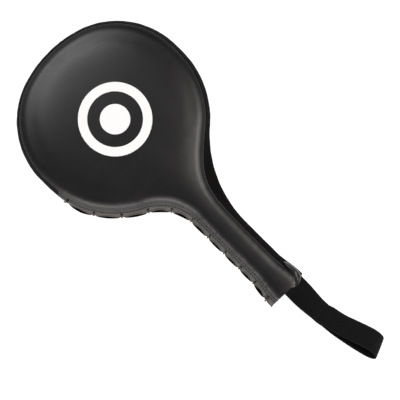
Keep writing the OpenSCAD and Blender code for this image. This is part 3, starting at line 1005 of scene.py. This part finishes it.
def gusset():
    """The strip round the closed side, full between its seams and gathered along them."""
    run = RIGHT[::-1] + [st for st in LEFT[1:] if st.s < FACING_START - 1]
    run.append(left_at(FACING_START - 0.3))
    rise = SEAM_Z - BELOW_SEAM
    rows = []
    for j in range(-1, GUSSET_STEPS + 2):
        k = 1 - 2 * min(max(j, 0), GUSSET_STEPS) / GUSSET_STEPS
        tucked = j < 0 or j > GUSSET_STEPS
        row = []
        for st in run:
            near_seam = abs(k) ** 3
            lap = near_seam * near_seam
            inset = (SEAM_IN + st.wall()) * abs(k) ** 1.9 + LAP_IN * lap
            gathers = puckers(st, 0.55) * near_seam + puckers(st, 0.25) * (1 - near_seam)
            out = -inset - UNDER_EDGE + min(gathers, GATHER_MOST)
            out += GUSSET_FULL * (1 - near_seam) + LAP_OVER * lap
            up = rise * k + math.copysign(LAP_UP * (half_t(st.p.y) - SEAM_Z) * lap, k)
            if tucked:
                out -= TUCK_IN
                up -= math.copysign(1.0, k)
            row.append(st.at(out, MID_Z + up))
        rows.append(row)
    bm = bmesh.new()
    sweep(bm, rows)
    puff(bm)
    settle(bm)
    outward = sum(f.normal.dot(Vector((f.calc_center_median().x, 0, 0))) for f in bm.faces)
    if outward < 0:
        bmesh.ops.reverse_faces(bm, faces=bm.faces)
    obj = made("side_gusset_skin", bm)
    thicken(obj, SKIN_T, -1, 0.35)
    on_paddle(obj, GUSSET, "leatherette_side", "side_gusset")


gusset()

# The gusset's end, folded back over the webbing: (x, y, height, half tall, half thick)
END_FOLD = [
    (21.4, -262, 23, 8, 1.6), (22.0, -270, 25, 11, 4.0), (21.8, -278.5, 28, 10.4, 5.6),
    (19.4, -285.0, 30.6, 7.8, 6.0), (14.8, -288.4, 31.0, 7.2, 5.2), (10.0, -289.0, 30.4, 6.0, 4.0),
    (6.4, -288.4, 29.6, 4, 2.0),
]
FOLD_SIDES = 24
FOLD_CREASE = 0.12


def end_fold():
    """The folded end of the gusset, soft and full, at the grip's corner."""
    spine = catmull([Vector(q[:3]) for q in END_FOLD], 5)
    sizes = catmull([Vector((q[3], q[4])) for q in END_FOLD], 5)
    rows = []
    for i, (p, aim, (tall, thick)) in enumerate(zip(spine, ahead(spine), sizes)):
        out = Vector((-aim.y, aim.x, 0)).normalized()
        row = []
        for k in range(FOLD_SIDES):
            a = 2 * math.pi * k / FOLD_SIDES
            wave = noise.noise(Vector((i * 0.25, 3 * math.cos(a), 3 * math.sin(a))))
            crease = 1 + FOLD_CREASE * wave
            up = abs(math.sin(a)) ** 0.8 * math.copysign(1, math.sin(a))
            row.append(p + out * (thick * math.cos(a) * crease) + Vector((0, 0, tall * up * crease)))
        rows.append(row)
    bm = bmesh.new()
    rings = sweep(bm, rows, True)
    bmesh.ops.edgeloop_fill(bm, edges=rings[0][1])
    bmesh.ops.edgeloop_fill(bm, edges=rings[-1][1])
    settle(bm)
    obj = made("gusset_end_fold", bm)
    dress(obj, FACE)
    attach(obj, "paddle")


end_fold()

# ---------------------------------------------------------------- laced facings

LIP_GAPE = 2.4
BACK_BULGE = 0.8
FRONT_DRAW = 2.9
SPAN_STEPS = 14
LIP_PAST_END = 2.6
# How the facing is pinched in at each hole: how deep, and how far to each side
PINCH = 0.35
PINCH_HALF_W = 3.5


def facing_places():
    places = [mix(FACING_START, HOLES[0], k / 5) for k in range(5)]
    for a, b in zip(HOLES, HOLES[1:]):
        places += [mix(a, b, k / SPAN_STEPS) for k in range(SPAN_STEPS)]
    return places + [mix(HOLES[-1], LEFT[-1].s + LIP_PAST_END, k / 6) for k in range(7)]


def facing_line(s, bulge):
    """The strip's middle line at a place: (out, up) from the seam to the lip's edge."""
    gape = open_at(s)
    w = lip_w(s) + bulge * gape - NOTCH * math.exp(-((from_hole(s) / NOTCH_HALF_W) ** 2))
    z = LIP_CLOSE + SKIN_T / 2 + LIP_GAPE * gape
    hand = [
        (-SEAM_IN - 2.4, SEAM_Z - 2.1),
        (-SEAM_IN - 0.6, SEAM_Z - 0.9),
        (-0.8, SEAM_Z * 0.66),
        (w * 0.24, max(SEAM_Z * 0.34, z + 1.4)),
        (w * 0.52, z + 0.5),
        (w, z),
    ]
    return catmull([Vector(q) for q in hand], 4)


def facing(name, back):
    """A facing: full over the foam, pinched at each hole and gaping between."""
    bulge = BACK_BULGE if back else -FRONT_DRAW
    rows = []
    for s in facing_places():
        st = left_at(s)
        near = from_hole(s)
        row = []
        line = facing_line(s, bulge)
        for k, q in enumerate(line):
            u = k / (len(line) - 1)
            fold = PINCH * math.exp(-((near / PINCH_HALF_W) ** 2)) * math.sin(math.pi * u) ** 2
            ripple = puckers(st, 0.35) * math.sin(math.pi * u)
            up = max(q.y + ripple - fold, LIP_CLOSE + SKIN_T / 2)
            row.append(st.at(q.x - fold, MID_Z + up, END_Y - LIP_PAST_END * u))
        rows.append(row)
    bm = bmesh.new()
    sweep(bm, rows)
    settle(bm, (0, 0, 1))
    if back:
        bmesh.ops.transform(bm, matrix=FLIP, verts=bm.verts)
        bmesh.ops.reverse_faces(bm, faces=bm.faces)
    obj = made(name, bm)
    thicken(obj, SKIN_T, 0, 0.4)
    punch = bmesh.new()
    for s in HOLES:
        st = left_at(s)
        centre = st.at(lip_w(s) - HOLE_FROM_EDGE, MID_Z)
        bmesh.ops.create_cone(punch, cap_ends=True, segments=20, radius1=HOLE_D / 2, radius2=HOLE_D / 2,
                              depth=2 * SEAM_Z, matrix=Matrix.Translation(centre))
    tool = made("punch", punch)
    cut = obj.modifiers.new("holes", "BOOLEAN")
    cut.object = tool
    cut.solver = "EXACT"
    apply_all(obj, 45)
    bpy.data.objects.remove(tool)
    # The front facing gets the leather painted lighter as a highlight, the back facing the plain dark
    # leather.
    on_paddle(obj, GUSSET if back else TRIM_PAINTED_LIGHT, "leatherette_side", name.replace("_strip", ""))
    return obj


front_strip = facing("front_facing_strip", False)
back_strip = facing("back_facing_strip", True)

# ---------------------------------------------------------------- lace

LACE_RISE = LIP_CLOSE + SKIN_T + LACE_D / 2 + 0.05
LACE_OUT = HOLE_FROM_EDGE - NOTCH + LACE_D / 2 + 0.1
# One turn round both lips: (out from the hole, up, along the lips)
LACE_TURN = [
    (-3.4, 0.9, -3),
    (-0.5, 1.3, -0.3),
    (0, LACE_RISE * 0.8, 0),
    (0.9, LACE_RISE + 0.2, 0),
    (LACE_OUT - 0.8, LACE_RISE * 0.75, 0),
    (LACE_OUT, 0, 0),
    (LACE_OUT - 0.8, -LACE_RISE * 0.75, 0),
    (0.9, -LACE_RISE - 0.2, 0),
    (0, -LACE_RISE * 0.8, 0),
    (-0.5, -1.3, 0.3),
    (-3.4, -0.9, 3),
]


def on_lip(s, q):
    st = left_at(s)
    base = st.at(lip_w(s) - HOLE_FROM_EDGE + q[0], MID_Z + q[1])
    return base + Vector((st.n.y, -st.n.x, 0)) * q[2]


def lace():
    route = [on_lip(HOLES[0], q) for q in LACE_TURN[3:]]
    for s in HOLES[1:-1]:
        route += [on_lip(s, q) for q in LACE_TURN]
    route += [on_lip(HOLES[-1], q) for q in LACE_TURN[:4]]
    line = catmull(route, 4)
    obj = made("lace_cord", tube(line, LACE_D / 2, 12))
    on_paddle(obj, LACE, "lace", "lace")
    return running(line)[-1]


lace_length = lace()


KNOT_R = 0.72
KNOT_H = 0.62
KNOT_LIFT = 1.3
KNOT_OPEN = 0.35
KNOT_STEPS = 24
KNOT_CORD = 0.8


def knot(name, s, lean, node):
    """An overhand knot on the front lip, with a short tail."""
    centre = on_lip(s, LACE_TURN[3]) + Vector((0, 0, KNOT_LIFT))
    loop = []
    for k in range(KNOT_STEPS + 1):
        t = mix(KNOT_OPEN, 2 * math.pi - KNOT_OPEN, k / KNOT_STEPS)
        loop.append(Vector((
            KNOT_R * (math.sin(t) + 2 * math.sin(2 * t)),
            KNOT_R * (math.cos(t) - 2 * math.cos(2 * t)),
            -KNOT_H * math.sin(3 * t),
        )))
    away = Vector((math.cos(lean), math.sin(lean), 0))
    tail = [loop[-1] + away * 1.4 + Vector((0, 0, 0.2)), loop[-1] + away * 2.7 + Vector((0, 0.4, -0.4)),
            loop[-1] + away * 3.8 + Vector((0, 1.2, -0.8))]
    route = catmull([centre + q for q in loop + tail], 3)
    obj = made(name, tube(route, LACE_D / 2 * KNOT_CORD, 10))
    on_paddle(obj, LACE, "lace", node)


knot("lace_knot_at_head", HOLES[0], math.radians(150), "lace_start_knot")
knot("lace_knot_at_end", HOLES[-1], math.radians(200), "lace_end_knot")

# ---------------------------------------------------------------- stitches

STITCH_LEN = 3.2
STITCH_GAP = 0.7
THREAD_D = 0.8
# How far round the edge's roll the seam's stitches lie, in degrees: over the gusset's lap, and
# beside the facing
SEAM_TURN_CLOSED = 38
SEAM_TURN_LACED = 14


def stitches(name, line, node, on=None, material=None):
    """Separate stitches along a line of (point, way out of the surface), seated on a piece."""
    bm = bmesh.new()
    if on:
        seat = nearest_on(on)
        seated = []
        for p, way in line:
            place, normal = seat(p + way * 2)
            seated.append((place + way * THREAD_D * 0.2, way))
        line = seated
    pitch = STITCH_LEN + STITCH_GAP
    along = running([p for p, _ in line])
    count = int(along[-1] / pitch)
    i = 0
    for k in range(count):
        mid = (k + 0.5) * along[-1] / count
        while along[i + 1] < mid:
            i += 1
        t = (mid - along[i]) / (along[i + 1] - along[i])
        p = line[i][0].lerp(line[i + 1][0], t)
        up = line[i][1].lerp(line[i + 1][1], t).normalized()
        aim = (line[i + 1][0] - line[i][0]).normalized()
        cross = up.cross(aim).normalized()
        slant = random.uniform(0.03, 0.1)
        aim = (aim + cross * slant).normalized()
        cross = up.cross(aim).normalized()
        turn = Matrix((aim, cross, up)).transposed().to_4x4()
        bmesh.ops.create_uvsphere(bm, u_segments=6, v_segments=4, radius=0.5,
                                  matrix=Matrix.Translation(p) @ turn @ Matrix.Rotation(math.pi / 2, 4, "Y")
                                  @ Matrix.Diagonal((THREAD_D * 0.85, THREAD_D, STITCH_LEN, 1)))
    obj = made(name, bm)
    on_paddle(obj, material or THREAD, "thread", node)


def flip_line(line):
    return [(FLIP @ p, Vector((n.x, n.y, -n.z))) for p, n in line]


def seam_line():
    """The row of stitches beside the seam, on the rolled edge."""
    line = []
    for st in OUTLINE:
        laced = smooth((st.s - FACING_START + 15) / 30) if st.p.x < 0 else 0
        turn = mix(SEAM_TURN_CLOSED, SEAM_TURN_LACED, laced)
        out, up = roll_point(st, SEAM_IN, turn)
        slope = Vector((*st.n, 0)) * math.cos(math.radians(turn))
        slope.z = math.sin(math.radians(turn))
        base = st.at(out, MID_Z + up)
        line.append((base + slope * 0.1, slope.normalized()))
    return line


# Which point of the facing's middle line the second row of stitches follows
STITCHED_AT = 8


def facing_stitch_line(bulge):
    """The row of stitches along a facing."""
    line = []
    for s in facing_places():
        st = left_at(s)
        q = facing_line(s, bulge)
        a, b, c = q[STITCHED_AT - 2], q[STITCHED_AT], q[STITCHED_AT + 2]
        d = (c - a).normalized()
        way = Vector((-d.y, d.x)) if d.x > 0 else Vector((d.y, -d.x))
        p = b + way * (SKIN_T / 2 + 0.1)
        line.append((st.at(p.x, MID_Z + p.y), Vector((st.n.x * way.x, st.n.y * way.x, way.y))))
    return line


stitches("front_seam_stitches", seam_line(), "front_seam_thread", front)
stitches("back_seam_stitches", flip_line(seam_line()), "back_seam_thread", back)
stitches("front_facing_stitches", facing_stitch_line(-FRONT_DRAW), "front_facing_thread", front_strip)
stitches("back_facing_stitches", flip_line(facing_stitch_line(BACK_BULGE)), "back_facing_thread", back_strip)

HEM_IN = 5
HEM_END_IN = 5.5
HEM_STEPS = 39


def hem_line():
    line = []
    y = END_Y + HEM_IN
    left = -GRIP_LEFT - FLARE_W + HEM_END_IN
    right = GRIP_RIGHT + FLARE_W - GRIP_WALL - HEM_END_IN
    for k in range(HEM_STEPS + 1):
        x = mix(left, right, k / HEM_STEPS)
        hit, normal = on_face(x, y)
        line.append((hit + normal * 0.1, normal))
    return line


stitches("front_hem_stitches", hem_line(), "front_hem_thread", front, HEM_THREAD)
stitches("back_hem_stitches", flip_line(hem_line()), "back_hem_thread", back, HEM_THREAD)

# ---------------------------------------------------------------- wrist loop

WEB_W = 30
WEB_T = 1.3
WEB_X = 8.5
ROOT_Y = box_mm("strap_tail")[0].y - 1.5
NEAR_LEN = 58
NEAR_END_Z = WEB_T + 0.9
# The webbing's middle line from above: (distance from the root, sideways)
SWAY = [(0, 1.8), (20, 1.6), (38, 1.8), (58, 3.4), (78, 6.4), (98, 10.2), (116, 14.5), (130, 18)]
TWIST = math.radians(36)
TWIST_LEN = 46
WEB_CUTS = 10
WEB_CUP = 0.25
# The loop from the side, past the near part: (distance, height)
LOOP_SIDE = [
    (1.6, 4.0), (16, 7.4), (30, 11.4), (42, 14.6), (54, 16.6), (63, 15.8), (69.6, 12.4),
    (71.6, 8.2), (69.4, 4.2), (63, 1.6), (50, 1.05), (30, 1.05), (14, 1.05), (1.6, 1.05),
]


def sway(d):
    for (a, x), (b, z) in zip(SWAY, SWAY[1:]):
        if d <= b:
            t = (d - a) / (b - a)
            return mix(x, z, t)
    return mix(SWAY[-2][1], SWAY[-1][1], (d - SWAY[-2][0]) / (SWAY[-1][0] - SWAY[-2][0]))


def soft_sway(d):
    """The sideways line without corners."""
    return sum(sway(d + k * 3) for k in range(-3, 4)) / 7 if d > 9 else sway(d)


def near_height(d):
    """The height of the middle between the two legs, down to where they lie on the floor."""
    return mix(MID_Z, NEAR_END_Z, min(1, max(0, d / NEAR_LEN)))


def web_row(d, z, normal):
    """Points across the webbing at a place; normal is (back along the band, up). The band lies twisted."""
    turn = math.atan2(soft_sway(d + 4) - soft_sway(d - 4), 8)
    wide = Vector((math.cos(turn), math.sin(turn), 0))
    way = Vector((-math.sin(turn) * normal.x, math.cos(turn) * normal.x, normal.y))
    centre = Vector((WEB_X + soft_sway(d), ROOT_Y - d, z))
    row = []
    roll = TWIST * smooth(d / TWIST_LEN)
    rise = (WEB_W / 2) * math.sin(roll) * smooth(d / NEAR_LEN)
    low = near_height(d)
    for k in range(WEB_CUTS + 1):
        v = mix(-1, 1, k / WEB_CUTS)
        flat = wide * (v * WEB_W / 2) + way * (WEB_CUP * (0.5 - v * v))
        across, up = flat.dot(wide), flat.z + z - low
        along = flat - wide * across - Vector((0, 0, flat.z))
        place = wide * (across * math.cos(roll) + up * math.sin(roll)) + along
        place.z = low + rise - across * math.sin(roll) + up * math.cos(roll)
        row.append(Vector((centre.x, centre.y, 0)) + place)
    return row


def web_piece(name, legs):
    """Webbing along legs of (distance, height) points, each with the length its UV map starts from."""
    bm = bmesh.new()
    uv = bm.loops.layers.uv.verify()
    for leg, start in legs:
        rings = sweep(bm, [web_row(q.x, q.y, Vector((aim.y, aim.x))) for q, aim in zip(leg, ahead(leg))])
        place = {}
        for along, (verts, _) in zip(running(leg, start), rings):
            for k, v in enumerate(verts):
                place[v] = (along, mix(-WEB_W / 2, WEB_W / 2, k / WEB_CUTS))
        for f in bm.faces:
            for l in f.loops:
                if l.vert in place:
                    l[uv].uv = place[l.vert]
    obj = made(name, bm)
    thicken(obj, WEB_T - 0.1, 0, 0.25)
    return dress(obj, WEB)


def near_legs(d0, d1, steps=14):
    """The two legs between the root and the loop: they part slowly."""
    legs = []
    for leg in (1, -1):
        points = []
        for i in range(steps + 1):
            d = mix(d0, d1, i / steps)
            u = max(0, d) / NEAR_LEN
            apart = mix(WEB_T + 0.2, WEB_T + 1.4, u) / 2
            points.append(Vector((d, near_height(d) + apart * leg)))
        legs.append(points)
    return legs


# Where the band's two pieces meet, how far its root reaches into the grip, and how far before the
# near part's end the loop's side view takes over
JOIN_D = 30
ROOT_IN = 6
LOOP_BEFORE = 6


def wrist_loop():
    upper, lower = near_legs(-ROOT_IN, JOIN_D)
    root = web_piece("wrist_strap_root", [(upper, 0), (lower, 0)])
    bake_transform(root)
    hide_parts("strap_near")
    upper, lower = near_legs(JOIN_D, NEAR_LEN - LOOP_BEFORE, 8)
    side_view = [Vector((NEAR_LEN + d, z)) for d, z in LOOP_SIDE]
    line = catmull(upper + side_view[1:-1] + lower[::-1], 3)
    loop = web_piece("wrist_strap_loop", [(line, JOIN_D + ROOT_IN)])
    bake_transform(loop)
    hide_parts("strap_far")
    return running(line)[-1] + 2 * (JOIN_D + ROOT_IN)


web_length = wrist_loop()

# ---------------------------------------------------------------- pieces kept from the frame

KEPT = {
    "core_board": BOARD,
    "grip_spine": BOARD,
    "head_foam_front": FOAM,
    "head_foam_back": FOAM,
    "grip_foam_front": FOAM,
    "grip_foam_back": FOAM,
    # The end panel gets the facings' leather, painted lighter as a highlight.
    "end_panel": TRIM_PAINTED_LIGHT,
    "strap_tail": WEB,
    "strap_tack": HEM_THREAD,
}
for node, material in KEPT.items():
    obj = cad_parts[node]
    obj.data.materials.clear()
    obj.data.materials.append(material)

# ---------------------------------------------------------------- floor, light and camera


def floor():
    bm = bmesh.new()
    bmesh.ops.create_grid(bm, x_segments=8, y_segments=8, size=4000)
    obj = made("floor", bm)
    m = Mat("pale_floor", (0.3, 0.3, 0.3), 0.9, Specular_IOR_Level=0.0)
    m.put(m.shader.inputs["Emission Color"], (1.0, 1.0, 1.0))
    m.put(m.shader.inputs["Emission Strength"], 0.96)
    obj.data.materials.append(m.mat)
    obj.location.z = -0.0005


def light(name, target, direction, distance, size, power, colour=(1, 1, 1)):
    """A soft panel that looks at a place from a direction."""
    data = bpy.data.lights.new(name, "AREA")
    data.color = colour
    data.shape = "RECTANGLE"
    data.size, data.size_y = size
    data.energy = power
    obj = bpy.data.objects.new(name, data)
    way = Vector(direction).normalized()
    obj.location = Vector(target) + way * distance
    obj.rotation_euler = way.to_track_quat("Z", "Y").to_euler()
    bpy.context.scene.collection.objects.link(obj)


floor()
middle = Vector((0.0034, -0.1385, 0.0))
light("key", middle, (0.04, 1.0, 1.15), 1.5, (0.8, 0.6), 10.5)
light("side", middle, (0.85, -0.75, 1.5), 1.4, (0.6, 0.5), 11, (1.0, 0.95, 0.92))
light("fill", middle, (-0.92, -0.55, 0.42), 1.5, (1.6, 0.5), 17, (1.0, 0.96, 0.94))
world = bpy.data.worlds.new("studio")
bpy.context.scene.world = world
world.use_nodes = True
world.node_tree.nodes["Background"].inputs["Color"].default_value = (1, 1, 1, 1)
world.node_tree.nodes["Background"].inputs["Strength"].default_value = 0.08

lens = bpy.data.cameras.new("camera")
lens.lens = 85
lens.sensor_width = 36
camera = bpy.data.objects.new("camera", lens)
bpy.context.scene.collection.objects.link(camera)
VIEW_W = 0.48
camera.location = middle + Vector((0, 0, 0.03 + VIEW_W * lens.lens / lens.sensor_width))
camera.rotation_euler = (0, 0, math.radians(-45))
bpy.context.scene.camera = camera
bpy.context.scene.view_settings.view_transform = "Standard"

print("lace", round(lace_length), "mm, webbing", round(web_length), "mm")
